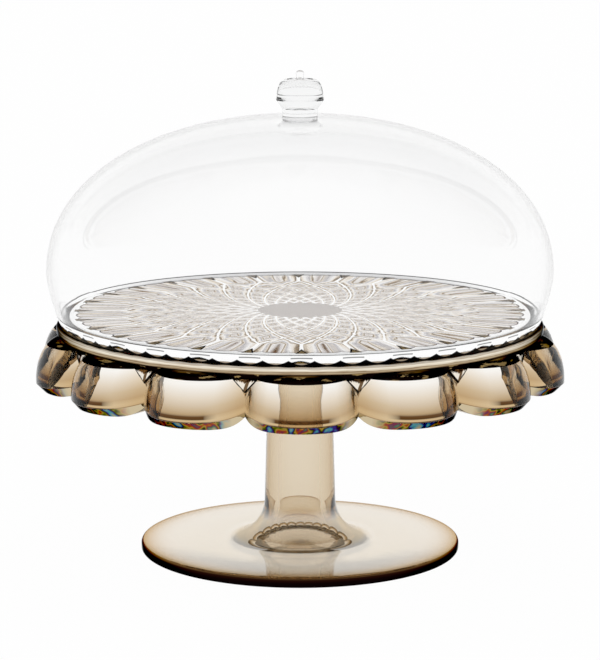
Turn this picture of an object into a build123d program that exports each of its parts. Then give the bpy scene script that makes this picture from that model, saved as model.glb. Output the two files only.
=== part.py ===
from build123d import *
import os
from math import cos, sin, pi, radians

os.makedirs("parts", exist_ok=True)

# Driving sizes in millimetres. The origin is the centre of the foot's underside, +Z up.

# foot: base disc and hollow stem
foot_radius = 108.0
foot_edge_height = 7.0
foot_edge_round = 2.2
foot_crown_height = 8.3       # the disc's top, where the flare begins
flare_radius = 29.0
stem_base_radius = 24.0
stem_top_radius = 20.4
stem_wall = 8.2
stem_cap = 4.0
mouth_radius = 34.0           # opening of the hollow stem, in the underside
mouth_height = 34.0

# plate: platform, seat for the dome and rim
platform_height = 163.8
platform_radius = 155.0
platform_edge_round = 1.0
plate_thickness = 6.0
seat_step = 5.6
seat_width = 7.0
seat_neck = 2.4               # wall that carries the platform's edge
rim_round = 1.5
rim_height = 6.2
socket_wall = 5.0
socket_depth = 12.0
glue_gap = 0.1

# plate: skirt of hanging lobes
lobe_stand_out = 15.5         # the rim to a lobe's tip
lobe_pitch = 62.8             # along the circle of the lobes' axes, and their number follows
lobe_lap = 7.6                # a lobe's roundness seen from above, over half a pitch
lobe_height = 35.4
lobe_drop = 11.8              # platform to a lobe's top
lobe_shoulder = 17.0          # how far a lobe draws in towards its top
lobe_belly = 28.5             # a lobe's top down to its widest line
lobe_end_room = 12.4          # added to a lobe's width so that neighbours merge
lobe_bevel_depth = 5.0        # radial depth of the bevel round a lobe's lower edge
lobe_bevel_angle = 45.0
valley_drop = 40.1            # platform to the skirt's lower edge between two lobes
valley_depth = 3.0            # skirt ring set back behind the valley of two lobes
web_lap = 2.5                 # the lobes' axes out to the inner end of the webs
lens_radius = 29.0            # roundness of the hollow behind a lobe
lens_wall = 8.0               # a lobe's thickness at its tip
lens_drop = 16.3              # platform to the ceiling of the hollows
gem_width = 15.7
gem_height = 8.7
gem_drop = 4.5                # lobe top down to a gem's top
gem_stand_out = 2.6
gem_bevel_angle = 40.0

# dome
dome_side_gap = 1.4           # platform edge to the inside of the rim
dome_seat_gap = 0.2
dome_rim_thickness = 4.5
dome_rim_height = 6.0
dome_bulge = 8.8              # how far the widest line stands out past the rim
dome_tuck_power = 1.52        # how the outline draws in below the widest line
dome_widest_rise = 27.2       # platform up to the widest line
dome_crown = 104.3            # widest line up to the top
dome_crown_power = 2.135      # squareness of the upper outline
dome_wall = 3.0

# knob, bonded over a spigot on the dome
knob_radius = 15.9
knob_neck_radius = 12.0
knob_neck_height = 4.7
knob_flare_height = 5.7
knob_band_height = 1.2
knob_band_step = 0.6
knob_body_height = 13.3
knob_top_radius = 10.0
knob_boss_radius = 2.6
knob_boss_height = 4.6
petal_count = 8
petal_length = 7.0
petal_width = 4.2
petal_height = 3.0
spigot_radius = 5.9
spigot_height = 9.0
spigot_gap = 0.05

# What follows is worked out from the sizes above.
plate_underside = platform_height - plate_thickness
seat_height = platform_height - seat_step
seat_radius = platform_radius + seat_width
rim_radius = seat_radius + rim_round
lobe_radius = lobe_pitch / 2 + lobe_lap
lobe_reach = rim_radius + lobe_stand_out
lobe_axis = lobe_reach - lobe_radius
lobe_count = round(2 * pi * lobe_axis / lobe_pitch)
lobe_top = platform_height - lobe_drop
lobe_bottom = lobe_top - lobe_height
lobe_widest = lobe_top - lobe_belly
half_lobe = pi / lobe_count
valley_radius = lobe_axis * cos(half_lobe) + (lobe_radius**2 - (lobe_axis * sin(half_lobe))**2) ** 0.5
valley_height = platform_height - valley_drop
skirt_outer = valley_radius - valley_depth
step_radius = platform_radius - seat_neck
web_radius = lobe_axis + web_lap
lens_top = platform_height - lens_drop
dome_foot = seat_height + dome_seat_gap
dome_rim_radius = platform_radius + dome_side_gap + dome_rim_thickness
dome_radius = dome_rim_radius + dome_bulge
dome_widest = platform_height + dome_widest_rise
dome_top = dome_widest + dome_crown


def turned(*edges):
    """Solid of revolution about Z from a closed outline of (radius, height) edges."""
    return revolve(make_face(Plane.XZ * Curve(list(edges))), Axis.Z)


def around(shape, count):
    """Copies of a shape, evenly spaced about Z, with the first one where the shape is."""
    return [Rot(0, 0, 360 * i / count) * shape for i in range(count)]


def make_foot():
    crown = (stem_base_radius + flare_radius, foot_crown_height)
    stem_base = (stem_base_radius, foot_crown_height + flare_radius)
    edge_top = (foot_radius - foot_edge_round, foot_edge_height)
    side_top = (foot_radius, foot_edge_height - foot_edge_round)
    side_bottom = (foot_radius, foot_edge_round)
    edge_bottom = (foot_radius - foot_edge_round, 0)
    bore_base = (stem_base_radius - stem_wall, mouth_height)
    cap_height = plate_underside - stem_cap
    bore_top = (stem_top_radius - stem_wall, cap_height)
    return turned(
        Line((mouth_radius, 0), edge_bottom),
        RadiusArc(edge_bottom, side_bottom, -foot_edge_round),
        Line(side_bottom, side_top),
        RadiusArc(side_top, edge_top, -foot_edge_round),
        TangentArc(crown, edge_top, tangent=(1, 0)),
        TangentArc(crown, stem_base, tangent=(-1, 0)),
        Polyline(stem_base, (stem_top_radius, plate_underside), (0, plate_underside),
                 (0, cap_height), bore_top, bore_base),
        TangentArc(bore_base, (mouth_radius, 0), tangent=(0, -1)),
    )


def make_plate_body():
    """Platform, dome seat, rim, skirt ring and the socket for the stem."""
    edge = (platform_radius - platform_edge_round, platform_height)
    edge_low = (platform_radius, platform_height - platform_edge_round)
    seat_edge = (seat_radius, seat_height)
    rim_top = (rim_radius, seat_height - rim_round)
    rim_bottom = (rim_radius, seat_height - rim_height)
    socket_inner = stem_top_radius + socket_depth * (stem_base_radius - stem_top_radius) / (
        plate_underside - foot_crown_height - flare_radius) + glue_gap
    socket_outer = socket_inner + socket_wall
    socket_bottom = plate_underside - socket_depth
    return turned(
        Line((0, platform_height), edge),
        RadiusArc(edge, edge_low, platform_edge_round),
        Polyline(edge_low, (platform_radius, seat_height), seat_edge),
        RadiusArc(seat_edge, rim_top, rim_round),
        Polyline(rim_top, rim_bottom, (skirt_outer, lobe_top), (skirt_outer, valley_height),
                 (web_radius, valley_height), (web_radius, lens_top),
                 (step_radius, lens_top), (step_radius, plate_underside),
                 (socket_outer, plate_underside), (socket_outer, socket_bottom),
                 (socket_inner, socket_bottom), (socket_inner, plate_underside),
                 (0, plate_underside), (0, platform_height)),
    )


def make_lobe():
    """One pillow-shaped lobe, its tip on +X, from the skirt ring outwards."""
    waist = lobe_radius - lobe_shoulder
    belly = (waist, lobe_widest)
    upper = EllipticalCenterArc(belly, lobe_shoulder, lobe_belly, 0, arc_size=90)
    lower = EllipticalCenterArc(belly, lobe_shoulder, lobe_height - lobe_belly, 0, arc_size=-90)
    outline = Curve([upper, lower, Polyline((waist, lobe_top), (0, lobe_top), (0, lobe_bottom),
                                            (waist, lobe_bottom))])
    pillow = Pos(lobe_axis, 0, 0) * revolve(make_face(Plane.XZ * outline), Axis.Z)
    bevel_foot = lobe_reach - lobe_bevel_depth
    middle = Plane((bevel_foot, 0, lobe_top - lobe_height / 2), x_dir=(0, 1, 0), z_dir=(1, 0, 0))
    lobe_width = 2 * lobe_axis * sin(half_lobe) + lobe_end_room
    front = middle * SlotOverall(lobe_width, lobe_height)
    bevelled = extrude(front, lobe_bevel_depth, taper=lobe_bevel_angle)
    back = extrude(front, -(bevel_foot - step_radius))
    return pillow & (bevelled + back)


def make_gem():
    """Small bevelled triangle between two lobes, just under the rim."""
    face = Plane((skirt_outer - gem_stand_out, 0, lobe_top - gem_drop), x_dir=(0, 1, 0), z_dir=(1, 0, 0))
    triangle = face * Polygon((-gem_width / 2, 0), (gem_width / 2, 0), (0, -gem_height), align=None)
    gem = extrude(triangle, gem_stand_out) + extrude(
        Pos(gem_stand_out, 0, 0) * triangle, gem_stand_out, taper=gem_bevel_angle)
    return Rot(0, 0, 180 / lobe_count) * gem


def make_plate():
    body = make_plate_body()
    lobes = around(make_lobe(), lobe_count)
    gems = around(make_gem(), lobe_count)
    solid = body + lobes + gems
    lens = Pos(lobe_reach - lens_wall - lens_radius, 0, (lens_top + lobe_bottom) / 2 - 1) * Cylinder(
        lens_radius, lens_top - lobe_bottom + 2)
    return Rot(0, 0, -90) * (solid - around(lens, lobe_count))


def dome_outer_radius(height):
    """Radius of the dome's outside below its widest line."""
    fall = (dome_widest - height) / (dome_widest - dome_foot)
    return dome_radius - dome_bulge * fall**dome_tuck_power


def crown_curve(radius, rise):
    """Upper outline of the dome as a squared ellipse, from the widest line to the axis."""
    power = 2 / dome_crown_power
    angles = [radians(a) for a in (0, 15, 30, 45, 60, 75, 90)]
    points = [(radius * abs(cos(a)) ** power, dome_widest + rise * sin(a) ** power) for a in angles]
    return Spline(points[:-1] + [(0, dome_widest + rise)], tangents=((0, 1), (-1, 0)))


def tuck_curve(inset, bottom):
    """Lower outline of the dome, from the widest line down to the given height."""
    heights = [dome_widest + (bottom - dome_widest) * i / 4 for i in range(5)]
    return Spline([(dome_outer_radius(h) - inset, h) for h in heights])


def make_dome():
    rim_top = dome_foot + dome_rim_height
    foot_outer = (dome_rim_radius, dome_foot)
    foot_inner = (dome_rim_radius - dome_rim_thickness, dome_foot)
    step_low = (dome_outer_radius(rim_top) - dome_rim_thickness, rim_top)
    step_high = (dome_outer_radius(rim_top) - dome_wall, rim_top + dome_rim_thickness - dome_wall)
    step_high = (dome_outer_radius(step_high[1]) - dome_wall, step_high[1])
    shell = turned(
        crown_curve(dome_radius, dome_crown),
        tuck_curve(0, dome_foot),
        Polyline(foot_outer, foot_inner, step_low, step_high),
        tuck_curve(dome_wall, step_high[1]),
        crown_curve(dome_radius - dome_wall, dome_crown - dome_wall),
        Line((0, dome_top - dome_wall), (0, dome_top)),
    )
    spigot = Pos(0, 0, dome_top + spigot_height / 2 - dome_wall / 4) * Cylinder(
        spigot_radius, spigot_height + dome_wall / 2)
    return shell + spigot


def make_knob():
    neck_top = (knob_neck_radius, dome_top + knob_neck_height)
    band_bottom = (knob_radius, neck_top[1] + knob_flare_height)
    band_top = (knob_radius, band_bottom[1] + knob_band_height)
    body_bottom = (knob_radius - knob_band_step, band_top[1] + knob_band_step)
    body_top = (knob_top_radius, body_bottom[1] + knob_body_height)
    boss_top = body_top[1] + knob_boss_height
    body = turned(
        Polyline((0, dome_top), (knob_neck_radius, dome_top), neck_top, band_bottom, band_top,
                 body_bottom),
        TangentArc(body_bottom, body_top, tangent=(0, 1)),
        Polyline(body_top, (knob_boss_radius, body_top[1]), (knob_boss_radius, boss_top),
                 (0, boss_top), (0, dome_top)),
    )
    petal = Pos((knob_boss_radius + knob_top_radius) / 2, 0, body_top[1]) * scale(
        Sphere(0.5), by=(petal_length, petal_width, petal_height))
    bore_depth = spigot_height + spigot_gap + dome_wall / 4
    bore = Pos(0, 0, dome_top + bore_depth / 2) * Cylinder(spigot_radius + spigot_gap, bore_depth)
    return body + around(petal, petal_count) - bore


pieces = {
    "foot": make_foot(),
    "plate": make_plate(),
    "dome": make_dome(),
    "knob": make_knob(),
}
for name, solid in pieces.items():
    export_step(solid, f"parts/{name}.step")
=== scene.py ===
from math import asin, cos, e, log, pi, radians, sin, sqrt

import bpy
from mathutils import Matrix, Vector


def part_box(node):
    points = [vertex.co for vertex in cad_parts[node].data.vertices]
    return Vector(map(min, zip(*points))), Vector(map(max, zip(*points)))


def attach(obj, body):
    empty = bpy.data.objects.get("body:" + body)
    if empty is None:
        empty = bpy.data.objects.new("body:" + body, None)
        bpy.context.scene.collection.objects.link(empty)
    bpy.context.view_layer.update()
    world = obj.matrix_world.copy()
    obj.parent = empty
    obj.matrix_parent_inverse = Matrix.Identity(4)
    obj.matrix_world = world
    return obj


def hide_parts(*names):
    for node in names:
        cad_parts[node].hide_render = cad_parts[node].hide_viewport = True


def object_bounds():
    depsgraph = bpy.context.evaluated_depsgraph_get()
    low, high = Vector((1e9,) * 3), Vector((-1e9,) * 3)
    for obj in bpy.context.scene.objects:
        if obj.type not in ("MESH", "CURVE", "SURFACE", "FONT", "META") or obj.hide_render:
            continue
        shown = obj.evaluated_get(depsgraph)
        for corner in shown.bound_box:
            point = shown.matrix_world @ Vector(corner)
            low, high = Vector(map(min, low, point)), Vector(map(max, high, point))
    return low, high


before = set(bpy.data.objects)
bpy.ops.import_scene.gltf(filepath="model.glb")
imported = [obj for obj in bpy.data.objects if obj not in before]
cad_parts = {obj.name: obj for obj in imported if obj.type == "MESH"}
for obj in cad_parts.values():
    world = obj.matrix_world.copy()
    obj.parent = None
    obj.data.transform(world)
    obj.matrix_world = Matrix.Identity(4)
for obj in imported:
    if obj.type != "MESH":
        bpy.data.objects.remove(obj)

cadLow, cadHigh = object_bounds()
scene = bpy.context.scene


def clamp(value, low=0.0, high=1.0):
    return max(low, min(high, value))


def mix(a, b, t):
    return a + (b - a) * t


# A point on a turned piece: angle 0 faces the front and grows anticlockwise seen from above
def ringPoint(radius, height, angle=0.0):
    return Vector((radius * sin(angle), -radius * cos(angle), height))


# The same radius and height at every angle of a sector
def ringRow(place, angles):
    return [ringPoint(*place, a) for a in angles]


# Angles from one side of a sector to the other
def sectorAngles(half, count):
    return [half * i / count for i in range(-count, count + 1)]


# Sine and versine through a quarter turn, for rounded edges
def quarterTurn(count, first=1):
    turns = [pi / 2 * i / count for i in range(first, count + 1)]
    return [(sin(turn), 1 - cos(turn)) for turn in turns]


# Faces between neighbouring rows, which run from the top pole round the outside to the bottom pole
def skinRows(rows):
    points, faces, start = [], [], 0
    for upper, lower in zip(rows, rows[1:]):
        points += upper
        low = start + len(upper)
        last, lastLow = len(upper) - 1, len(lower) - 1
        i = j = 0
        while i < last or j < lastLow:
            ahead = (i + 1) * lastLow - (j + 1) * last
            if ahead == 0:
                faces.append((start + i, low + j, low + j + 1, start + i + 1))
                i, j = i + 1, j + 1
            elif (ahead < 0 or j == lastLow) and i < last:
                faces.append((start + i, low + j, start + i + 1))
                i += 1
            else:
                faces.append((start + i, low + j, low + j + 1))
                j += 1
        start = low
    return points + rows[-1], faces


# Gives a function that adds a Math node to a tree and returns its output
def calculator(tree):
    def calc(operation, first, second=None, third=None):
        node = tree.nodes.new("ShaderNodeMath")
        node.operation = operation
        for socket, value in zip(node.inputs, (first, second, third)):
            if isinstance(value, (int, float)):
                socket.default_value = value
            elif value is not None:
                tree.links.new(value, socket)
        return node.outputs[0]

    return calc


# Geometry Nodes: one sector of a piece, set round the axis and joined into a closed solid
def ringTree(name, inputs):
    tree = bpy.data.node_groups.new(name, "GeometryNodeTree")
    tree.is_modifier = True
    tree.interface.new_socket("Geometry", in_out="INPUT", socket_type="NodeSocketGeometry")
    for label, kind, value in inputs:
        socket = tree.interface.new_socket(label, in_out="INPUT", socket_type=kind)
        if value is not None:
            socket.default_value = value
    tree.interface.new_socket("Geometry", in_out="OUTPUT", socket_type="NodeSocketGeometry")
    add, join = tree.nodes.new, tree.links.new
    given, result = add("NodeGroupInput"), add("NodeGroupOutput")
    points = add("GeometryNodeMeshLine")
    points.inputs["Offset"].default_value = (0, 0, 0)
    join(given.outputs["Copies"], points.inputs["Count"])
    calc = calculator(tree)
    step = calc("DIVIDE", 2 * pi, given.outputs["Copies"])
    spin = add("ShaderNodeCombineXYZ")
    join(calc("MULTIPLY", add("GeometryNodeInputIndex").outputs[0], step), spin.inputs["Z"])
    copies = add("GeometryNodeInstanceOnPoints")
    join(points.outputs[0], copies.inputs["Points"])
    join(given.outputs["Geometry"], copies.inputs["Instance"])
    join(spin.outputs[0], copies.inputs["Rotation"])
    real = add("GeometryNodeRealizeInstances")
    join(copies.outputs[0], real.inputs[0])
    weld = add("GeometryNodeMergeByDistance")
    join(real.outputs[0], weld.inputs["Geometry"])
    join(given.outputs["Weld"], weld.inputs["Distance"])
    smooth = add("GeometryNodeSetShadeSmooth")
    join(weld.outputs[0], smooth.inputs["Geometry"])
    finish = add("GeometryNodeSetMaterial")
    join(smooth.outputs[0], finish.inputs["Geometry"])
    join(given.outputs["Finish"], finish.inputs["Material"])
    join(finish.outputs[0], result.inputs[0])
    return tree


meshSizes = {
    "weld": 0.00002,
    "sharpAngle": 30,
}

sectorTree = ringTree("sectorsRoundTheAxis", [
    ("Copies", "NodeSocketInt", 12),
    ("Weld", "NodeSocketFloat", meshSizes["weld"]),
    ("Finish", "NodeSocketMaterial", None),
])


# Turns a sector's rows into the finished piece. outward gives the first and last row that face outwards,
# which the finish reads as an attribute
def makeRing(name, rows, copies, finish, body, outward=None):
    points, faces = skinRows(rows)
    sector = bpy.data.meshes.new(name + "Sector")
    sector.from_pydata(points, [], faces)
    if outward:
        mark = sector.attributes.new("outward", "FLOAT", "POINT")
        marks = [float(outward[0] <= i <= outward[1]) for i, row in enumerate(rows) for _ in row]
        mark.data.foreach_set("value", marks)
    maker = bpy.data.objects.new(name + "Maker", sector)
    scene.collection.objects.link(maker)
    modifier = maker.modifiers.new("sectors", "NODES")
    modifier.node_group = sectorTree
    ids = {s.name: s.identifier for s in sectorTree.interface.items_tree if s.in_out == "INPUT"}
    values = {"Copies": copies, "Weld": meshSizes["weld"], "Finish": finish}
    for label, value in values.items():
        modifier[ids[label]] = value
    ready = maker.evaluated_get(bpy.context.evaluated_depsgraph_get())
    mesh = bpy.data.meshes.new_from_object(ready)
    maker.modifiers.clear()
    bpy.data.objects.remove(maker)
    mesh.name = name
    mesh.set_sharp_from_angle(angle=radians(meshSizes["sharpAngle"]))
    piece = bpy.data.objects.new(name + "Visual", mesh)
    scene.collection.objects.link(piece)
    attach(piece, body)
    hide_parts(name)
    print(f"{name}: {len(mesh.vertices)} points, {len(mesh.polygons)} faces")
    return piece


# Gives a second finish to the faces that a test picks
def finishFaces(piece, finish, picks):
    piece.data.materials.append(finish)
    for face in piece.data.polygons:
        if picks(face):
            face.material_index = len(piece.data.materials) - 1


# Finishes
acrylicLook = {
    "index": 1.49,
    "reflection": 0.03,          # tint of what a plain surface reflects at a grazing angle
    "waveScale": 14,             # faint unevenness of a moulded surface
    "waveRoughness": 0.006,
    "waveBump": 0.008,
    "smoke": {"tint": (0.576, 0.37, 0.0), "density": 38},
    "clear": {"tint": (0.48, 0.50, 0.50), "density": 5},
}

white = (1.0, 1.0, 1.0)


def acrylic(name, shade):
    look = acrylicLook
    finish = bpy.data.materials.new(name)
    finish.use_nodes = True
    add, join = finish.node_tree.nodes.new, finish.node_tree.links.new
    shader = finish.node_tree.nodes["Principled BSDF"]
    shader.inputs["Base Color"].default_value = (*white, 1)
    shader.inputs["Transmission Weight"].default_value = 1
    shader.inputs["IOR"].default_value = look["index"]
    shader.inputs["Specular Tint"].default_value = (*[look["reflection"]] * 3, 1)
    waves = add("ShaderNodeTexNoise")
    waves.inputs["Scale"].default_value = look["waveScale"]
    waves.inputs["Detail"].default_value = 2
    join(add("ShaderNodeTexCoord").outputs["Object"], waves.inputs["Vector"])
    rough = add("ShaderNodeMapRange")
    rough.inputs["To Max"].default_value = look["waveRoughness"]
    join(waves.outputs["Fac"], rough.inputs["Value"])
    join(rough.outputs["Result"], shader.inputs["Roughness"])
    bump = add("ShaderNodeBump")
    bump.inputs["Strength"].default_value = look["waveBump"]
    bump.inputs["Distance"].default_value = 0.001
    join(waves.outputs["Fac"], bump.inputs["Height"])
    join(bump.outputs["Normal"], shader.inputs["Normal"])
    depth = add("ShaderNodeVolumeAbsorption")
    depth.inputs["Color"].default_value = (*look[shade]["tint"], 1)
    depth.inputs["Density"].default_value = look[shade]["density"]
    join(depth.outputs[0], finish.node_tree.nodes["Material Output"].inputs["Volume"])
    return finish


clearAcrylic = acrylic("clearAcrylic", "clear")


# A colour ramp by a measured value. A face that light crosses once passes only the root of its colour,
# so the stops of such a face are squared
def rampNode(finish, value, stops, crossed=False):
    nodes, join = finish.node_tree.nodes, finish.node_tree.links.new
    low, high = stops[0][0], stops[-1][0]
    reach = nodes.new("ShaderNodeMapRange")
    reach.inputs["From Min"].default_value = low
    reach.inputs["From Max"].default_value = high
    join(value, reach.inputs["Value"])
    ramp = nodes.new("ShaderNodeValToRGB")
    join(reach.outputs["Result"], ramp.inputs["Fac"])
    points = ramp.color_ramp.elements
    while len(points) < len(stops):
        points.new(1.0)
    for point, (place, colour) in zip(points, stops):
        point.position = (place - low) / (high - low)
        point.color = (*(c * c if crossed else c for c in colour), 1)
    return ramp.outputs["Color"]


def mixNode(finish, factor, a, b, blend="MIX"):
    node = finish.node_tree.nodes.new("ShaderNodeMix")
    node.data_type = "RGBA"
    node.blend_type = blend
    for label, value in (("Factor", factor), ("A", a), ("B", b)):
        if isinstance(value, tuple):
            node.inputs[label].default_value = (*value, 1)
        elif isinstance(value, (int, float)):
            node.inputs[label].default_value = value
        else:
            finish.node_tree.links.new(value, node.inputs[label])
    return node.outputs["Result"]


# Noise in streaks round the axis: across is how many to a radian, up how many to a metre
def streakNode(finish, angle, height, across, up, detail=3):
    nodes, join = finish.node_tree.nodes, finish.node_tree.links.new
    calc = calculator(finish.node_tree)
    around = nodes.new("ShaderNodeCombineXYZ")
    join(calc("MULTIPLY", angle, across), around.inputs["X"])
    join(calc("MULTIPLY", height, up), around.inputs["Y"])
    noise = nodes.new("ShaderNodeTexNoise")
    noise.inputs["Scale"].default_value = 1
    noise.inputs["Detail"].default_value = detail
    join(around.outputs[0], noise.inputs["Vector"])
    return noise.outputs["Fac"]


# Maths nodes for a finish, and the Object coordinates that they start from
def startDrawing(finish):
    add, join = finish.node_tree.nodes.new, finish.node_tree.links.new
    split = add("ShaderNodeSeparateXYZ")
    join(add("ShaderNodeTexCoord").outputs["Object"], split.inputs[0])
    return calculator(finish.node_tree), *split.outputs


def angleNode(calc, x, y, turn):
    return calc("SUBTRACT", calc("ARCTAN2", x, calc("MULTIPLY", y, -1)), turn)


def radiusNode(calc, x, y):
    return calc("SQRT", calc("ADD", calc("MULTIPLY", x, x), calc("MULTIPLY", y, y)))


def clampNode(calc, value):
    return calc("MINIMUM", calc("MAXIMUM", value, 0), 1)


# 1 on the rows that makeRing marked as facing outwards
def outwardNode(finish):
    mark = finish.node_tree.nodes.new("ShaderNodeAttribute")
    mark.attribute_name = "outward"
    return mark.outputs["Fac"]


# Joins painted light and shade to the shader. The metallic part is a painted reflection of the room in the
# painted colour, standing in for light that is caught inside the edge, and with grazing it keeps that colour
# when seen flat
def paint(finish, colour, metallic, grazing=False):
    join = finish.node_tree.links.new
    shader = finish.node_tree.nodes["Principled BSDF"]
    join(colour, shader.inputs["Base Color"])
    join(metallic, shader.inputs["Metallic"])
    if grazing:
        join(colour, shader.inputs["Specular Tint"])


# The plate: platform, seat, rim, lobes, gems, relief and socket in one moulding
_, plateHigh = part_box("plate")
plateTop = plateHigh.z

plateSizes = {
    "lobes": 14,
    "turn": 0.007,               # radians, as the plate stands
    "bandDrop": 0.0167,          # platform down to the lower edge of the painted black band of shade
    "platformRadius": 0.155,
    "edgeRound": 0.001,
    "seatDrop": 0.0070,
    "seatRadius": 0.162,
    "rimRound": 0.0015,
    "rimDepth": 0.0048,
    "coreRadius": 0.1575,
    "lobeTip": 0.179,            # axis of the stand to a lobe's tip
    "lobeDrop": 0.0118,          # platform down to a lobe's top
    "lobeRadius": 0.039,
    "lobeShoulder": 0.017,
    "bellyRise": 0.0285,         # from a lobe's widest line up to its top
    "creaseDrop": 0.0422,        # platform down to the crease above the bevel, at a lobe's tip
    "creaseRise": 0.0049,        # how far the crease climbs towards the valley
    "edgeDrop": 0.0472,
    "edgeRise": 0.0071,
    "bevelInset": 0.0050,
    "valleyInset": 0.0012,
    "hollowAcross": 0.0335,      # half width of the hollow behind a lobe
    "hollowDeep": 0.0387,        # and its other half axis, along the radius
    "lobeWall": 0.0080,          # a lobe's thickness at its tip, at the belly
    "hollowBend": 25,            # how its wall leans in towards the ceiling
    "hollowBendRise": 0.0135,    # belly up to where that starts
    "hollowDrop": 0.0163,        # platform down to the hollow's ceiling
    "innerRadius": 0.1490,
    "stepRadius": 0.1526,
    "platformThickness": 0.006,
    "medallionRadius": 0.0315,
    "socketRadius": 0.0266,
    "socketBore": 0.0216,
    "socketDepth": 0.012,
    "gemHalfWidth": 0.0080,
    "gemHeight": 0.0088,
    "gemStandOut": 0.0022,
    "gemLean": 0.75,             # a gem's face rises from its edges
    "gemSlope": 0.12,
    "gemBulge": 0.0008,          # up to this
    "gemDrop": 0.0046,
    "petals": 28,
    "petalDepth": 0.0022,        # how far a petal of the relief swells
    "petalRatio": 0.82,          # each ring of petals against the one outside it
    "petalStart": 0.1212,        # where the outermost petals part
    "notchStart": 0.1370,
    "notchHalfWidth": 0.0040,
    "notchEnd": 0.1520,
    "reliefRadius": 0.1500,
    # painted light and shade
    "smileEnd": 0.42,            # where the painted dark smile of shade above the crease fades, from tip (0) to valley (1)
    "hueEnd": 0.62,              # where the bevel's painted rainbow fades
    "fadeSlope": 5,
    "rimWaver": 0.0020,
    "fleckDrop": 0.0125,         # platform down to the painted glint flecks in the painted black band of shade
    "fleckLevel": 0.60,
    "fleckShare": 0.85,
    "hueFade": 0.15,
    "gemSlant": 0.0030,
    "gemRidgeAt": 0.0006,
    "gemRidge": 0.0011,
    "gemBorder": 0.0013,
    "edgeWidth": 0.04,           # painted bright highlight edges of the petals, in pitches, at edgeRadius
    "edgeRadius": 0.09,
    "edgeShine": 0.95,
    "cellShine": 0.8,
    "leastShine": 0.6,
    "sway": 0.03,                # how far the painted highlight edges waver, in pitches
    "streakWaver": 3.4,                # how far the streaks of painted light and shade waver, in pitches for each metre out
    "scallopRise": 0.0035,
    "scallopLine": 0.0005,
    "notchBorder": 0.0012,
}
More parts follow.
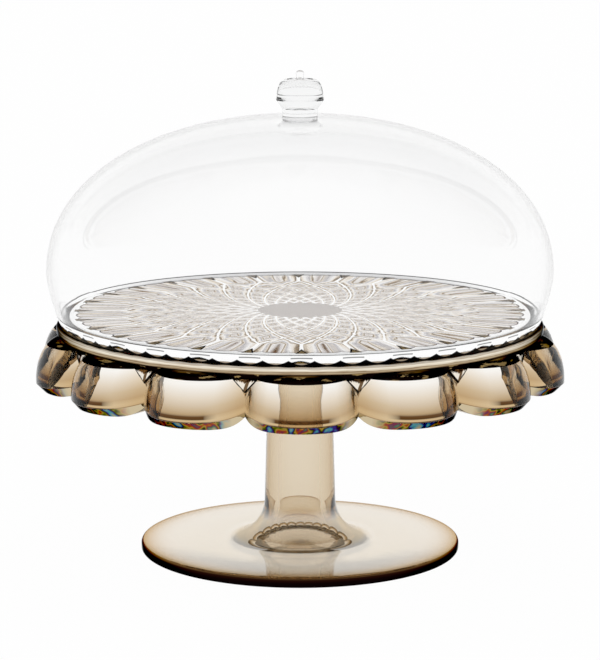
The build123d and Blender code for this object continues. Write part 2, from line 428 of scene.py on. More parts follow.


# Face, rim, bevel and gems of the plate: painted light and shade, dark and bright bands that stand in for
# light caught inside the edges
def plateAcrylicWithPaintedLight(sizes, top):
    s = sizes
    finish = acrylic("lobedAcrylicPaintedLight", "smoke")
    calc, x, y, z = startDrawing(finish)
    angle = angleNode(calc, x, y, s["turn"])
    half = pi / s["lobes"]
    part = calc("DIVIDE", calc("PINGPONG", angle, half), half)     # 0 at a lobe's tip, 1 in a valley

    def past(start):
        return clampNode(calc, calc("MULTIPLY", calc("SUBTRACT", part, start), s["fadeSlope"]))

    # face of a lobe, by the height above its crease: painted shade, white at the top and darker tan lower
    # down, with a painted dark line of shade at the crease and, near each tip, a painted dark smile of shade
    # above it
    crease = calc("MULTIPLY_ADD", calc("POWER", part, 3), s["creaseRise"], top - s["creaseDrop"])
    level = calc("SUBTRACT", z, crease)
    plain = [
        (-0.0060, (0.90, 0.80, 0.62)), (-0.0004, (0.80, 0.66, 0.45)), (0.0000, (0.25, 0.15, 0.08)),
        (0.0005, (0.75, 0.60, 0.40)), (0.0020, (0.78, 0.64, 0.44)), (0.0050, (0.66, 0.52, 0.35)),
        (0.0100, (0.74, 0.63, 0.48)), (0.0160, (0.88, 0.82, 0.74)), (0.0235, white), (0.0300, white),
    ]
    smileShade = [
        (-0.0060, (0.90, 0.80, 0.62)), (-0.0004, (0.80, 0.66, 0.45)), (-0.0001, (0.10, 0.05, 0.02)),
        (0.0004, (0.12, 0.06, 0.02)), (0.0008, (0.75, 0.58, 0.36)), (0.0016, (0.75, 0.58, 0.36)),
        (0.0022, (0.10, 0.045, 0.01)), (0.0042, (0.16, 0.08, 0.03)), (0.0056, (0.56, 0.42, 0.26)),
        (0.0085, (0.68, 0.56, 0.41)), (0.0150, (0.86, 0.79, 0.70)), (0.0235, white), (0.0300, white),
    ]
    face = mixNode(finish, past(s["smileEnd"]), rampNode(finish, level, smileShade, True),
                   rampNode(finish, level, plain, True))
    # painted shade, darker towards the valleys between the lobes
    valleyShade = rampNode(finish, part, [(0.0, white), (0.55, white), (0.9, (0.90, 0.83, 0.72)),
                                    (1.0, (0.88, 0.80, 0.68))], True)
    face = mixNode(finish, 1.0, face, valleyShade, "MULTIPLY")

    # rim: painted bright and dark bands, standing in for light caught inside the rim, and under it a painted
    # black band of shade with painted glint flecks
    streak = streakNode(finish, angle, z, 9, 900)
    raised = calc("MULTIPLY_ADD", calc("SUBTRACT", streak, 0.5), s["rimWaver"], z)
    rim = rampNode(finish, calc("SUBTRACT", raised, top), [
        (-0.0175, (0.003, 0.001, 0.001)), (-0.0132, (0.003, 0.001, 0.001)), (-0.0127, (0.16, 0.09, 0.03)),
        (-0.0122, (0.40, 0.28, 0.14)), (-0.0117, (0.20, 0.12, 0.06)), (-0.0110, (0.52, 0.42, 0.27)),
        (-0.0104, (0.26, 0.17, 0.10)), (-0.0099, (0.66, 0.56, 0.41)), (-0.0088, (0.90, 0.84, 0.72)),
        (-0.0082, (0.50, 0.41, 0.30)), (-0.0078, (0.80, 0.74, 0.64)), (-0.0070, (0.46, 0.37, 0.27)),
    ])
    fleckGlints = calc("GREATER_THAN", streakNode(finish, angle, z, 16, 420), s["fleckLevel"])
    lowRim = calc("LESS_THAN", z, top - s["fleckDrop"])
    fleckGlints = calc("MULTIPLY", fleckGlints, calc("MULTIPLY", lowRim, s["fleckShare"]))
    rim = mixNode(finish, fleckGlints, rim, (0.34, 0.23, 0.09))
    onRim = calc("GREATER_THAN", z, top - s["bandDrop"])

    # bevel: a painted rainbow of light split by the acrylic, with painted dark bands of shade
    rainbowNoise = streakNode(finish, angle, z, 16, 90, 2)
    bevelRainbow = rampNode(finish, rainbowNoise, [
        (0.30, (0.45, 0.36, 0.22)), (0.38, (0.05, 0.30, 0.36)), (0.42, (0.04, 0.03, 0.22)),
        (0.46, (0.012, 0.004, 0.015)), (0.49, (0.09, 0.13, 0.01)), (0.52, (0.40, 0.27, 0.07)),
        (0.55, (0.36, 0.07, 0.01)), (0.58, (0.16, 0.02, 0.09)), (0.62, (0.05, 0.16, 0.10)),
        (0.70, (0.50, 0.42, 0.26)),
    ])
    bevelRainbow = mixNode(finish, s["hueFade"], bevelRainbow, (0.16, 0.09, 0.03))
    bevelRainbow = mixNode(finish, past(s["hueEnd"]), bevelRainbow, (0.60, 0.50, 0.33))
    onBevel = calc("LESS_THAN", level, -0.0003)

    # gems between the lobes: painted light on their faces, a painted dark line of shade along each slanted
    # ridge and a painted dark border of shade
    across = calc("MULTIPLY", calc("SUBTRACT", part, 1), half * s["coreRadius"])    # 0 to minus, either side
    fall = calc("DIVIDE", calc("SUBTRACT", top - s["lobeDrop"] - s["gemDrop"], z), s["gemHeight"])
    left = calc("SUBTRACT", 1, fall)
    inside = calc("ADD", calc("MULTIPLY", left, s["gemHalfWidth"]), across)         # in from the sloping side
    onGem = calc("MULTIPLY", calc("GREATER_THAN", inside, 0), calc("GREATER_THAN", fall, 0))
    side = calc("SUBTRACT", calc("FLOORED_MODULO", angle, 2 * half), half)          # right or left of it
    slant = calc("MULTIPLY_ADD", left, s["gemSlant"], calc("MULTIPLY", side, -s["coreRadius"]))
    ridgeShade = calc("LESS_THAN", calc("ABSOLUTE", calc("SUBTRACT", slant, s["gemRidgeAt"])), s["gemRidge"])
    gem = mixNode(finish, ridgeShade, (0.86, 0.80, 0.70), (0.16, 0.10, 0.05))
    gem = mixNode(finish, calc("LESS_THAN", inside, s["gemBorder"]), gem, (0.010, 0.006, 0.003))

    # outward faces show the painted light and shade: on the rim, bevel and gems as a painted reflection,
    # elsewhere as painted shade in the acrylic's colour; inner faces stay white
    paintedReflection = mixNode(finish, onGem, mixNode(finish, onBevel, rim, bevelRainbow), gem)
    reflectionMask = calc("MAXIMUM", calc("MAXIMUM", onRim, onBevel), onGem)
    outside = outwardNode(finish)
    painted = mixNode(finish, outside, white, mixNode(finish, reflectionMask, face, paintedReflection))
    paint(finish, painted, calc("MULTIPLY", reflectionMask, outside))
    return finish


# Top of the platform: painted light and shade of the relief, shown as a painted reflection: painted bright
# highlight edges of the petals, painted dark notches of shade and a painted white scalloped margin
def platformAcrylicWithPaintedLight(sizes):
    s = sizes
    finish = acrylic("petalledAcrylicPaintedLight", "smoke")
    calc, x, y, _ = startDrawing(finish)
    angle = angleNode(calc, x, y, s["turn"])
    radius = radiusNode(calc, x, y)

    # petals: two families of spirals that cross
    turns = calc("MULTIPLY", angle, s["petals"] / (2 * pi))
    ring = calc("LOGARITHM", calc("DIVIDE", radius, s["petalStart"]), e)
    ring = calc("MAXIMUM", calc("MULTIPLY", ring, 0.5 / log(s["petalRatio"])), 0)
    edges = calc("MINIMUM", calc("PINGPONG", calc("ADD", turns, ring), 0.5),
                 calc("PINGPONG", calc("SUBTRACT", turns, ring), 0.5))
    sway = calc("SUBTRACT", streakNode(finish, angle, radius, 16, 30, 1), 0.5)
    streakWaver = calc("SUBTRACT", streakNode(finish, angle, radius, 20, 12, 1), 0.5)
    streakWaver = calc("MULTIPLY", streakWaver, calc("MULTIPLY", radius, s["streakWaver"]))
    # painted light and shade inside the petals, by the distance from their edges, wavering in streaks
    cellLightAndShade = rampNode(finish, calc("ADD", edges, streakWaver), [
        (-0.10, (0.60, 0.50, 0.38)), (-0.04, (0.92, 0.89, 0.86)), (0.02, (0.97, 0.95, 0.93)),
        (0.05, (0.32, 0.24, 0.15)), (0.10, (0.90, 0.84, 0.76)), (0.18, (1, 0.99, 0.98)),
        (0.27, (0.70, 0.68, 0.69)), (0.34, (0.93, 0.88, 0.80)), (0.37, (0.38, 0.29, 0.19)),
        (0.41, (0.97, 0.95, 0.93)), (0.50, (0.80, 0.77, 0.76)), (0.60, (0.28, 0.19, 0.11)),
    ])
    # painted bright highlight along the petals' edges
    width = calc("DIVIDE", s["edgeWidth"] * s["edgeRadius"], calc("MINIMUM", radius, s["edgeRadius"]))
    highlightLines = calc("LESS_THAN", calc("MULTIPLY_ADD", sway, s["sway"], edges), width)

    # scalloped margin: painted white as a painted highlight, with a painted dark line of shade along its edge
    scallop = calc("PINGPONG", calc("ADD", turns, 0.25), 0.5)
    scallop = calc("SQRT", calc("SINE", calc("MULTIPLY", scallop, 2 * pi)))
    outer = calc("MULTIPLY_ADD", scallop, s["scallopRise"], s["reliefRadius"] - s["scallopRise"])
    beyond = calc("SUBTRACT", radius, outer)
    margin = calc("GREATER_THAN", beyond, 0)
    tipShadeLine = calc("LESS_THAN", calc("ABSOLUTE", beyond), s["scallopLine"])

    # notches: small triangles between the tips of the outermost petals, painted dark with shade at their
    # edges and grey inside
    fall = calc("DIVIDE", calc("SUBTRACT", radius, s["notchStart"]), s["notchEnd"] - s["notchStart"])
    side = calc("MULTIPLY", calc("MULTIPLY", calc("PINGPONG", turns, 0.5), 2 * pi / s["petals"]), radius)
    inside = calc("SUBTRACT", calc("MULTIPLY", fall, s["notchHalfWidth"]), side)
    notch = calc("MULTIPLY", calc("GREATER_THAN", inside, 0), calc("LESS_THAN", fall, 1))
    notchShade = mixNode(finish, calc("GREATER_THAN", inside, s["notchBorder"]), (0.03, 0.02, 0.01),
                        (0.36, 0.31, 0.24))

    highlight = calc("MAXIMUM", highlightLines, margin)
    reliefLightAndShade = mixNode(finish, highlight, cellLightAndShade, white)
    reliefLightAndShade = mixNode(finish, tipShadeLine, reliefLightAndShade, (0.20, 0.15, 0.10))
    reliefLightAndShade = mixNode(finish, notch, reliefLightAndShade, notchShade)
    shine = calc("MAXIMUM", calc("MULTIPLY", highlight, s["edgeShine"]), calc("MAXIMUM", notch, tipShadeLine))
    shine = calc("MAXIMUM", shine, s["cellShine"])
    # the medallion in the middle gets a plain light grey; the whole top is at least partly a painted
    # reflection
    onRelief = calc("GREATER_THAN", radius, s["medallionRadius"] * 0.9)
    shown = mixNode(finish, onRelief, (0.80, 0.77, 0.75), reliefLightAndShade)
    paint(finish, shown, calc("MAXIMUM", calc("MULTIPLY", onRelief, shine), s["leastShine"]), grazing=True)
    return finish


# Outline of one lobe and of the hollow behind it, at an angle from its middle
class LobeShape:
    def __init__(self, sizes, top):
        self.__dict__.update(sizes)
        self.top = top
        self.halfAngle = pi / self.lobes
        self.lobeTop = top - self.lobeDrop
        self.axis = self.lobeTip - self.lobeRadius
        self.belly = self.lobeTop - self.bellyRise
        self.waist = self.lobeRadius - self.lobeShoulder
        self.ceiling = top - self.hollowDrop

    def spread(self, height):
        fall = (height - self.belly) / self.bellyRise
        return self.waist + self.lobeShoulder * sqrt(max(0, 1 - fall**2))

    def face(self, angle, height):
        across = self.axis * sin(angle)
        return self.axis * cos(angle) + sqrt(max(0, self.spread(height) ** 2 - across**2))

    # height at which the lobe leaves the ring that carries it
    def crest(self, angle):
        apart = sqrt(self.coreRadius**2 + self.axis**2 - 2 * self.coreRadius * self.axis * cos(angle))
        part = clamp((apart - self.waist) / self.lobeShoulder)
        return self.belly + self.bellyRise * sqrt(1 - part**2)

    def crease(self, angle):
        return self.top - self.creaseDrop + self.creaseRise * (abs(angle) / self.halfAngle) ** 3

    # lower edge of the bevel
    def edge(self, angle):
        part = abs(angle) / self.halfAngle
        inset = mix(self.bevelInset, self.valleyInset, part**3)
        height = self.top - self.edgeDrop + self.edgeRise * part**6
        return self.face(angle, self.crease(angle)) - inset, height

    # an ellipse across the lobe, met along the radius at this angle
    def hollow(self, angle, height):
        lean = self.hollowBend * max(0, height - self.belly - self.hollowBendRise) ** 2
        centre = self.lobeTip - self.lobeWall - lean - self.hollowDeep
        deep, across = self.hollowDeep, self.hollowAcross
        a = (cos(angle) / deep) ** 2 + (sin(angle) / across) ** 2
        b = centre * cos(angle) / deep**2
        room = b * b - a * ((centre / deep) ** 2 - 1)
        if room <= 0:
            return self.innerRadius
        return max(self.innerRadius, (b + sqrt(room)) / a)


lobe = LobeShape(plateSizes, plateTop)


def plateRows():
    fine, coarse = sectorAngles(lobe.halfAngle, 24), sectorAngles(lobe.halfAngle, 6)
    rows = [[ringPoint(0, plateTop)]]

    def row(place, angles=fine):
        rows.append([ringPoint(*place(a), a + lobe.turn) for a in angles])

    # rows from one edge of a surface (0) to the other (1)
    def rowsOver(place, count, first=0):
        for i in range(first, count + 1):
            row(lambda a: place(a, i / count))

    # platform, seat and rim
    for radius in (0.02, 0.06, 0.1, 0.14):
        row(lambda a: (radius, plateTop), coarse)
    inner = lobe.platformRadius - lobe.edgeRound
    for out, down in quarterTurn(3, 0):
        row(lambda a: (inner + lobe.edgeRound * out, plateTop - lobe.edgeRound * down))
    seat = plateTop - lobe.seatDrop
    firstOutward = len(rows) - 1
    row(lambda a: (lobe.platformRadius, seat))
    for out, down in quarterTurn(5, 0):
        row(lambda a: (lobe.seatRadius + lobe.rimRound * out, seat - lobe.rimRound * down))
    row(lambda a: (lobe.seatRadius + lobe.rimRound, seat - lobe.rimDepth))

    # ring above the lobes, with half a gem at each end of the sector
    gemTop = lobe.lobeTop - lobe.gemDrop

    def gemRadius(angle, height):
        across = (lobe.halfAngle - abs(angle)) * lobe.coreRadius
        fall = (gemTop - height) / lobe.gemHeight
        half = lobe.gemHalfWidth * (1 - fall)
        if not 0 <= fall <= 1 or across >= half:
            return lobe.coreRadius
        toEdge = min((half - across) * lobe.gemLean, gemTop - height)
        return lobe.coreRadius + lobe.gemStandOut + min(lobe.gemBulge, toEdge * lobe.gemSlope)

    def coreAt(angle, part):
        height = mix(lobe.lobeTop, lobe.crest(angle), part)
        return gemRadius(angle, height), height

    def faceAt(angle, part):
        height = mix(lobe.crest(angle), lobe.crease(angle), 1 - cos(part * pi / 2))
        return lobe.face(angle, height), height

    def bevelAt(angle, part):
        crease = lobe.crease(angle)
        radius, height = lobe.edge(angle)
        return mix(lobe.face(angle, crease), radius, part), mix(crease, height, part)

    def bottomAt(angle, part):
        radius, height = lobe.edge(angle)
        return mix(radius, min(radius - 0.0005, lobe.hollow(angle, height)), part), height

    def hollowAt(angle, part):
        height = mix(lobe.edge(angle)[1], lobe.ceiling, part)
        return lobe.hollow(angle, height), height

    rowsOver(coreAt, 12)
    rowsOver(faceAt, 24)
    rowsOver(bevelAt, 4, 1)
    lastOutward = len(rows) - 1
    rowsOver(bottomAt, 3, 1)
    rowsOver(hollowAt, 6, 1)

    # up to the platform, the relief under it and the socket for the stem
    underside = plateTop - lobe.platformThickness
    row(lambda a: (lobe.stepRadius, lobe.ceiling))
    row(lambda a: (lobe.stepRadius, underside))
    rows.extend(reliefRows(underside))
    socketBottom = underside - lobe.socketDepth
    row(lambda a: (lobe.socketRadius, underside), coarse)
    row(lambda a: (lobe.socketRadius, socketBottom), coarse)
    row(lambda a: (lobe.socketBore, socketBottom), coarse)
    row(lambda a: (lobe.socketBore, underside), coarse)
    rows.append([ringPoint(0, underside)])
    return rows, (firstOutward, lastOutward)


# Relief under the platform: rings of pointed petals that interlock like scales
def reliefRows(underside):
    pitch = 2 * pi / lobe.petals
    angles = sectorAngles(pitch, 12)
    nodes = [lobe.petalStart / lobe.petalRatio]
    while nodes[-1] > lobe.medallionRadius / lobe.petalRatio:
        nodes.append(nodes[-1] * lobe.petalRatio)
    nodes.append(lobe.medallionRadius)
    rows = []

    # place gets the way from the line through a petal of an odd ring (0) to the line between two (1)
    def row(place):
        turns = [abs((a + pitch / 2) % pitch - pitch / 2) / (pitch / 2) for a in angles]
        rows.append([ringPoint(*place(turn), a + lobe.turn) for a, turn in zip(angles, turns)])

    def zigzag(ring, turn):
        return mix(nodes[ring], nodes[ring + 1], turn if ring % 2 else 1 - turn)

    row(lambda turn: (lobe.stepRadius, underside))
    for i in range(9):
        part = i / 8
        rise = lobe.petalDepth * clamp(part * 6)
        row(lambda turn: (mix(lobe.stepRadius, zigzag(1, turn), part),
                          underside + rise - rise * (1 - (1 - turn) ** 2.2) * (1 - part**2)))
    for ring in range(1, len(nodes) - 2):
        for i in range(1, 7):
            part = i / 6
            swell = lobe.petalDepth * (1 - abs(2 * part - 1) ** 2.2)
            row(lambda turn: (mix(zigzag(ring, turn), zigzag(ring + 1, turn), part),
                              underside + lobe.petalDepth
                              - swell * (1 - (turn if ring % 2 else 1 - turn) ** 1.5)))
    row(lambda turn: (lobe.medallionRadius, underside))
    return rows


plateSkin, plateOutward = plateRows()
plate = makeRing("plate", plateSkin, lobe.lobes, plateAcrylicWithPaintedLight(plateSizes, plateTop), "stand",
                 outward=plateOutward)
finishFaces(plate, platformAcrylicWithPaintedLight(plateSizes), lambda face: face.center.z > plateTop - 0.0004)


# The dome: a clear shell with a thicker rim
domeLow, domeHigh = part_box("dome")
knobLow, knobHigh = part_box("knob")

domeSizes = {
    "flutes": 63,
    "turn": 0.006,
    "seatSink": 0.0013,          # how much lower it sits than the plain model
    "widestRise": 0.0272,        # platform up to the widest line
    "bulge": 0.0088,             # how far the foot draws in from there
    "tuckPower": 1.52,
    "crownPower": 2.135,
    "wall": 0.003,
    "rimThickness": 0.0034,
    "rimHeight": 0.0070,
    "fluteDepth": 0.0002,
    "fluteHeight": 0.0040,
    # painted reflection and shade of the rim, and its roughness
    "bandHeight": 0.0070,
    "scallopHigh": 0.0034,
    "scallopLow": 0.0006,
    "scallopPower": 1.7,
    "scallopEdge": 0.0003,       # how softly the scallops end
    "dashHeight": 0.0053,
    "dashFall": 0.0012,
    "dashWidth": 0.0006,
    "dashShare": 0.42,           # half a dash, in pitches of two flutes
    "dashTone": 0.15,
    "roughness": 0.08,
}

domeFoot = domeLow.z - domeSizes["seatSink"]


def domeRows():
    s = domeSizes
    widest = plateTop + s["widestRise"]
    radius = domeHigh.x
    crown = knobLow.z - widest
    half = pi / s["flutes"]
    coarse, fine = sectorAngles(half, 3), sectorAngles(half, 6)

    def crownAt(turn, inset):
        power = 2 / s["crownPower"]
        return (radius - inset) * cos(turn) ** power, widest + (crown - inset) * sin(turn) ** power

    def tuckAt(height, inset):
        fall = (widest - height) / (widest - domeFoot)
        return radius - s["bulge"] * fall ** s["tuckPower"] - inset, height

    # a shallow flute in the rim
    def fluteAt(height, angle):
        scoop = max(0, 1 - (height - domeFoot) / s["fluteHeight"] - abs(angle / half) ** 1.6)
        return tuckAt(height, s["fluteDepth"] * scoop)

    turns = [pi / 2 * (1 - i / 72) for i in range(1, 73)]
    rimTop = domeFoot + s["rimHeight"]
    innerTop = rimTop + s["rimThickness"] - s["wall"]
    outside = [crownAt(turn, 0) for turn in turns]
    outside += [tuckAt(mix(widest, rimTop, i / 8), 0) for i in range(1, 9)]
    inside = [tuckAt(domeFoot, s["rimThickness"]), tuckAt(rimTop, s["rimThickness"])]
    inside += [tuckAt(mix(innerTop, widest, i / 8), s["wall"]) for i in range(9)]
    inside += [crownAt(turn, s["wall"]) for turn in turns[-2::-1]]

    rows = [[ringPoint(0, widest + crown)]]
    rows += [ringRow(place, coarse) for place in outside]
    firstOutward = len(rows) - 1
    for i in range(1, 11):
        height = mix(rimTop, domeFoot, i / 10)
        rows.append([ringPoint(*fluteAt(height, a), a) for a in fine])
    lastOutward = len(rows) - 1
    rows += [ringRow(place, coarse) for place in inside]
    rows.append([ringPoint(0, widest + crown - s["wall"])])
    return rows, (firstOutward, lastOutward)


# The dome's rim: a painted reflection, bright like light caught in the rim, with painted dark scallops of
# shade along the lower edge and short painted dark dashes of shade above them
def rimPaintedReflection(sizes, foot):
    s = sizes
    finish = bpy.data.materials.new("domeFlangePaintedReflection")
    finish.use_nodes = True
    calc, x, y, z = startDrawing(finish)
    angle = angleNode(calc, x, y, s["turn"])
    half = pi / s["flutes"]
    part = calc("DIVIDE", calc("PINGPONG", angle, half), half)
    arch = calc("MULTIPLY_ADD", calc("POWER", part, s["scallopPower"]), s["scallopHigh"] - s["scallopLow"],
                foot + s["scallopLow"])
    over = calc("MULTIPLY", calc("SUBTRACT", z, arch), 1 / s["scallopEdge"])
    wide = calc("DIVIDE", calc("PINGPONG", angle, 2 * half), 2 * half)
    line = calc("MULTIPLY_ADD", calc("MULTIPLY", wide, wide), -s["dashFall"], foot + s["dashHeight"])
    dash = calc("MULTIPLY", calc("ABSOLUTE", calc("SUBTRACT", z, line)), 1 / s["dashWidth"])
    dash = calc("ADD", dash, calc("MULTIPLY", calc("GREATER_THAN", wide, s["dashShare"]), 2))
    light = clampNode(calc, calc("MINIMUM", over, calc("MAXIMUM", dash, s["dashTone"])))
    light = calc("MAXIMUM", light, calc("SUBTRACT", 1, outwardNode(finish)))
    colour = mixNode(finish, light, (0.002, 0.002, 0.003), white)
    shader = finish.node_tree.nodes["Principled BSDF"]
    finish.node_tree.links.new(colour, shader.inputs["Base Color"])
    shader.inputs["Metallic"].default_value = 1
    shader.inputs["Roughness"].default_value = s["roughness"]
    return finish


def onRimWall(face):
    return 0 < face.center.z - domeFoot < domeSizes["bandHeight"] and abs(face.normal.z) < 0.6


domeSkin, domeOutward = domeRows()
dome = makeRing("dome", domeSkin, domeSizes["flutes"], clearAcrylic, "cover",
                outward=domeOutward)
finishFaces(dome, rimPaintedReflection(domeSizes, domeFoot), onRimWall)


# The knob: a rounded body on a neck, with eight petals round a boss on top
knobSizes = {
    "petals": 8,
    "seatGap": 0.0001,
    "neckRadius": 0.012,
    "neckHeight": 0.0047,
    "flareHeight": 0.0057,
    "bandHeight": 0.0008,
    "bandStep": 0.0003,
    "topRadius": 0.010,
    "bodyHeight": 0.0125,
    "bossRadius": 0.0026,
    "bossFlatness": 0.6,
    "bossFoot": 0.0006,
    "petalHeight": 0.0008,
}


def knobRows():
    s = knobSizes
    radius, boss = knobHigh.x, s["bossRadius"]
    bottom = knobLow.z + s["seatGap"]
    neck = knobLow.z + s["neckHeight"]
    band = neck + s["flareHeight"]
    body = band + s["bandHeight"] + s["bandStep"]
    top = body + s["bodyHeight"]
    half = pi / s["petals"]
    angles = sectorAngles(half, 12)

    def petalAt(part, angle):
        rise = s["petalHeight"] * sin(pi * part) ** 0.7 * cos(angle / half * pi / 2) ** 0.8
        return mix(boss, s["topRadius"], part), top + rise

    dome = [(boss * out, knobHigh.z - boss * s["bossFlatness"] * down) for out, down in quarterTurn(6)]
    dome.append((boss, top + s["bossFoot"]))
    across = radius - s["bandStep"] - s["topRadius"]
    up = s["bodyHeight"]
    side = [(s["topRadius"] + across * out, body + up * (1 - down)) for out, down in quarterTurn(12)]
    side += [(radius, band + s["bandHeight"]), (radius, band)]
    side += [(s["neckRadius"], neck), (s["neckRadius"], bottom)]

    rows = [[ringPoint(0, knobHigh.z)]]
    rows += [ringRow(place, angles) for place in dome]
    rows += [[ringPoint(*petalAt(i / 10, a), a) for a in angles] for i in range(1, 11)]
    rows += [ringRow(place, angles) for place in side]
    rows.append([ringPoint(0, bottom)])
    return rows


makeRing("knob", knobRows(), knobSizes["petals"], clearAcrylic, "cover")


# The foot: a disc with a hollow stem that flares into it, in one moulding
_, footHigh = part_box("foot")

footSizes = {
    "sectors": 12,
    "edgeHeight": 0.007,
    "edgeRound": 0.0022,
    "crownHeight": 0.0083,       # of the disc, where the flare meets it
    "flareRadius": 0.026,
    "stemBase": 0.024,
    "stemTop": 0.0204,
    "topWall": 0.0074,
    "baseWall": 0.0100,
    "stemCap": 0.004,
    "mouthRadius": 0.034,        # where the bore opens below
    "mouthHeight": 0.034,
    "glueGap": 0.0001,
    # painted light and shade
    "wallInset": 0.0014,
    "borderStart": 0.070,
    "borderPower": 2.4,
    "borderShine": 0.85,
    "flareStart": 0.0242,
    "flareRise": 0.003,
    "flareEnd": 0.052,
    "flareFade": 0.010,
    "flareShine": 0.75,
    "underside": 0.004,          # nothing is drawn below this height, but for the wall
}


# Points of an arc between two ends that leaves the first one in the given direction
def arcPoints(start, end, direction, count):
    start, end, direction = Vector(start), Vector(end), Vector(direction).normalized()
    chord = end - start
    normal = Vector((-direction.y, direction.x))
    if normal.dot(chord) < 0:
        normal = -normal
    radius = chord.length_squared / (2 * normal.dot(chord))
    centre = start + normal * radius
    sweep = 2 * asin(clamp(chord.length / (2 * radius)))
    if direction.dot(chord) < 0:
        sweep = 2 * pi - sweep
    found = []
    for i in range(1, count + 1):
        turn = sweep * i / count
        found.append(tuple(centre - normal * radius * cos(turn) + direction * radius * sin(turn)))
    return found


def footRows():
    s = footSizes
    top = footHigh.z - s["glueGap"]
    edge, edgeTop, edgeRound = footHigh.x, s["edgeHeight"], s["edgeRound"]
    crown = (s["stemBase"] + s["flareRadius"], s["crownHeight"])
    stemBase = (s["stemBase"], s["crownHeight"] + s["flareRadius"])
    cap = top - s["stemCap"]
    boreTop = (s["stemTop"] - s["topWall"], cap)
    boreBase = (s["stemBase"] - s["baseWall"], s["mouthHeight"])
    mouth = (s["mouthRadius"], 0)

    outline = [(s["stemTop"], top)]
    outline += [(mix(s["stemTop"], s["stemBase"], i / 8), mix(top, stemBase[1], i / 8)) for i in range(1, 9)]
    outline += arcPoints(stemBase, crown, (0, -1), 20)
    outline += arcPoints(crown, (edge - edgeRound, edgeTop), (1, 0), 16)
    outline += [(edge - edgeRound * (1 - out), edgeTop - edgeRound * down) for out, down in quarterTurn(6)]
    outline.append((edge, edgeRound))
    outline += [(edge - edgeRound * down, edgeRound * (1 - out)) for out, down in quarterTurn(6)]
    # two rows close to the edges of the underside keep it flat
    outline += [(edge - edgeRound - 0.0006, 0), (s["mouthRadius"] + 0.001, 0), mouth]
    outline += arcPoints(boreBase, mouth, (0, -1), 18)[-2::-1] + [boreBase]
    outline += [(mix(boreBase[0], boreTop[0], i / 8), mix(boreBase[1], cap, i / 8)) for i in range(1, 9)]
    angles = sectorAngles(pi / s["sectors"], 8)
    return [[ringPoint(0, top)], *[ringRow(place, angles) for place in outline], [ringPoint(0, cap)]]


# Painted light and shade: its wall is painted near black for the light caught inside it, the border of the
# top above gets a painted golden glow of that light, and the flare a painted tan reflection standing in for
# the plate seen in it
def footAcrylicWithPaintedLight(sizes, edge):
    s = sizes
    finish = acrylic("footAcrylicPaintedLight", "smoke")
    calc, x, y, z = startDrawing(finish)
    radius = radiusNode(calc, x, y)
    above = calc("GREATER_THAN", z, s["underside"])

    wall = calc("GREATER_THAN", radius, edge - s["wallInset"])
    wallTone = rampNode(finish, z, [
        (0.0, (0.002, 0.001, 0.001)), (0.0035, (0.004, 0.001, 0.001)), (0.0055, (0.018, 0.004, 0.002)),
        (0.0063, (0.18, 0.09, 0.03)), (0.0072, (0.45, 0.30, 0.14)),
    ])
    borderGlow = calc("DIVIDE", calc("SUBTRACT", radius, s["borderStart"]), edge - s["borderStart"])
    borderGlow = calc("MULTIPLY", calc("POWER", clampNode(calc, borderGlow), s["borderPower"]), s["borderShine"])
    borderGlow = calc("MULTIPLY", borderGlow, above)
    flareReflection = calc("MINIMUM", calc("MULTIPLY", calc("SUBTRACT", s["flareEnd"], radius), 1 / s["flareFade"]),
                 calc("MULTIPLY", calc("SUBTRACT", radius, s["flareStart"]), 1 / s["flareRise"]))
    flareReflection = calc("MULTIPLY", calc("MULTIPLY", clampNode(calc, flareReflection), s["flareShine"]), above)

    shown = mixNode(finish, borderGlow, white, (0.60, 0.38, 0.12))
    shown = mixNode(finish, flareReflection, shown, (0.72, 0.61, 0.44))
    shown = mixNode(finish, wall, shown, wallTone)
    paint(finish, shown, calc("MAXIMUM", calc("MAXIMUM", wall, borderGlow), flareReflection), grazing=True)
    return finish


makeRing("foot", footRows(), footSizes["sectors"], footAcrylicWithPaintedLight(footSizes, footHigh.x), "stand")
print("pieces made")


# The room: a white floor and a soft white studio
roomSizes = {
    "floorDrop": 0.0003,
    "floorRadius": 6.0,
    "floorTone": 0.9,
    "floorLit": 0.02,            # share of the floor that takes light and shadow, the rest being plain white
    "wallTone": (0.68, 0.68, 0.69),
    "wallStart": (0.84, 0.84, 0.84),
}


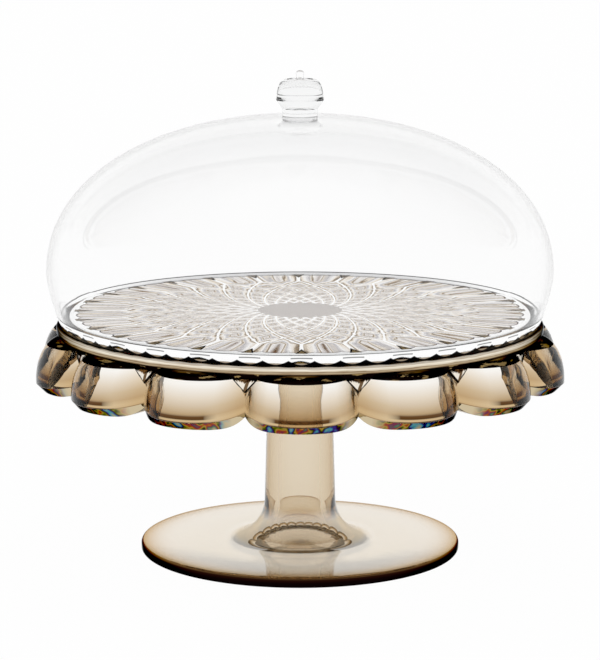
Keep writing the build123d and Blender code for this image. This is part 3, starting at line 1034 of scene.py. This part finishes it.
def makeFloor():
    s = roomSizes
    corners = [ringPoint(s["floorRadius"], cadLow.z - s["floorDrop"], 2 * pi * i / 64) for i in range(64)]
    mesh = bpy.data.meshes.new("floor")
    mesh.from_pydata(corners, [], [list(range(64))])
    floor = bpy.data.objects.new("floor", mesh)
    scene.collection.objects.link(floor)
    finish = bpy.data.materials.new("whiteFloor")
    finish.use_nodes = True
    add, join = finish.node_tree.nodes.new, finish.node_tree.links.new
    calc = calculator(finish.node_tree)
    lit = add("ShaderNodeBsdfDiffuse")
    lit.inputs["Color"].default_value = (*[s["floorTone"]] * 3, 1)
    path = add("ShaderNodeLightPath").outputs
    seen = calc("MAXIMUM", path["Is Camera Ray"], calc("MAXIMUM", path["Is Glossy Ray"],
                                                       path["Is Transmission Ray"]))
    both = add("ShaderNodeMixShader")
    join(calc("MULTIPLY", seen, 1 - s["floorLit"]), both.inputs["Fac"])
    join(lit.outputs[0], both.inputs[1])
    join(add("ShaderNodeEmission").outputs[0], both.inputs[2])
    join(both.outputs[0], finish.node_tree.nodes["Material Output"].inputs["Surface"])
    floor.data.materials.append(finish)


def makeWorld():
    s = roomSizes
    world = bpy.data.worlds.new("studio")
    scene.world = world
    world.use_nodes = True
    add, join = world.node_tree.nodes.new, world.node_tree.links.new
    split = add("ShaderNodeSeparateXYZ")
    join(add("ShaderNodeTexCoord").outputs["Generated"], split.inputs[0])
    # by height: white table and backdrop, walls a little darker, white ceiling
    around = rampNode(world, split.outputs["Z"], [
        (0.24, white), (0.40, s["wallStart"]), (0.58, s["wallTone"]), (0.90, s["wallTone"]), (0.95, white),
        (1.0, white),
    ])
    seen = add("ShaderNodeLightPath").outputs["Is Camera Ray"]
    join(mixNode(world, seen, around, white), world.node_tree.nodes["Background"].inputs["Color"])


makeFloor()
makeWorld()
print("room made")


# The camera
cameraSizes = {"lens": 176.63, "distance": 1.9498, "height": 0.5092, "tilt": 79.57}


def makeCamera():
    s = cameraSizes
    data = bpy.data.cameras.new("camera")
    data.lens = s["lens"]
    data.sensor_fit = "HORIZONTAL"
    data.sensor_width = 36
    camera = bpy.data.objects.new("camera", data)
    camera.location = (0, -s["distance"], s["height"])
    camera.rotation_euler = (radians(s["tilt"]), 0, 0)
    scene.collection.objects.link(camera)
    scene.camera = camera


makeCamera()
scene.view_settings.view_transform = "Standard"
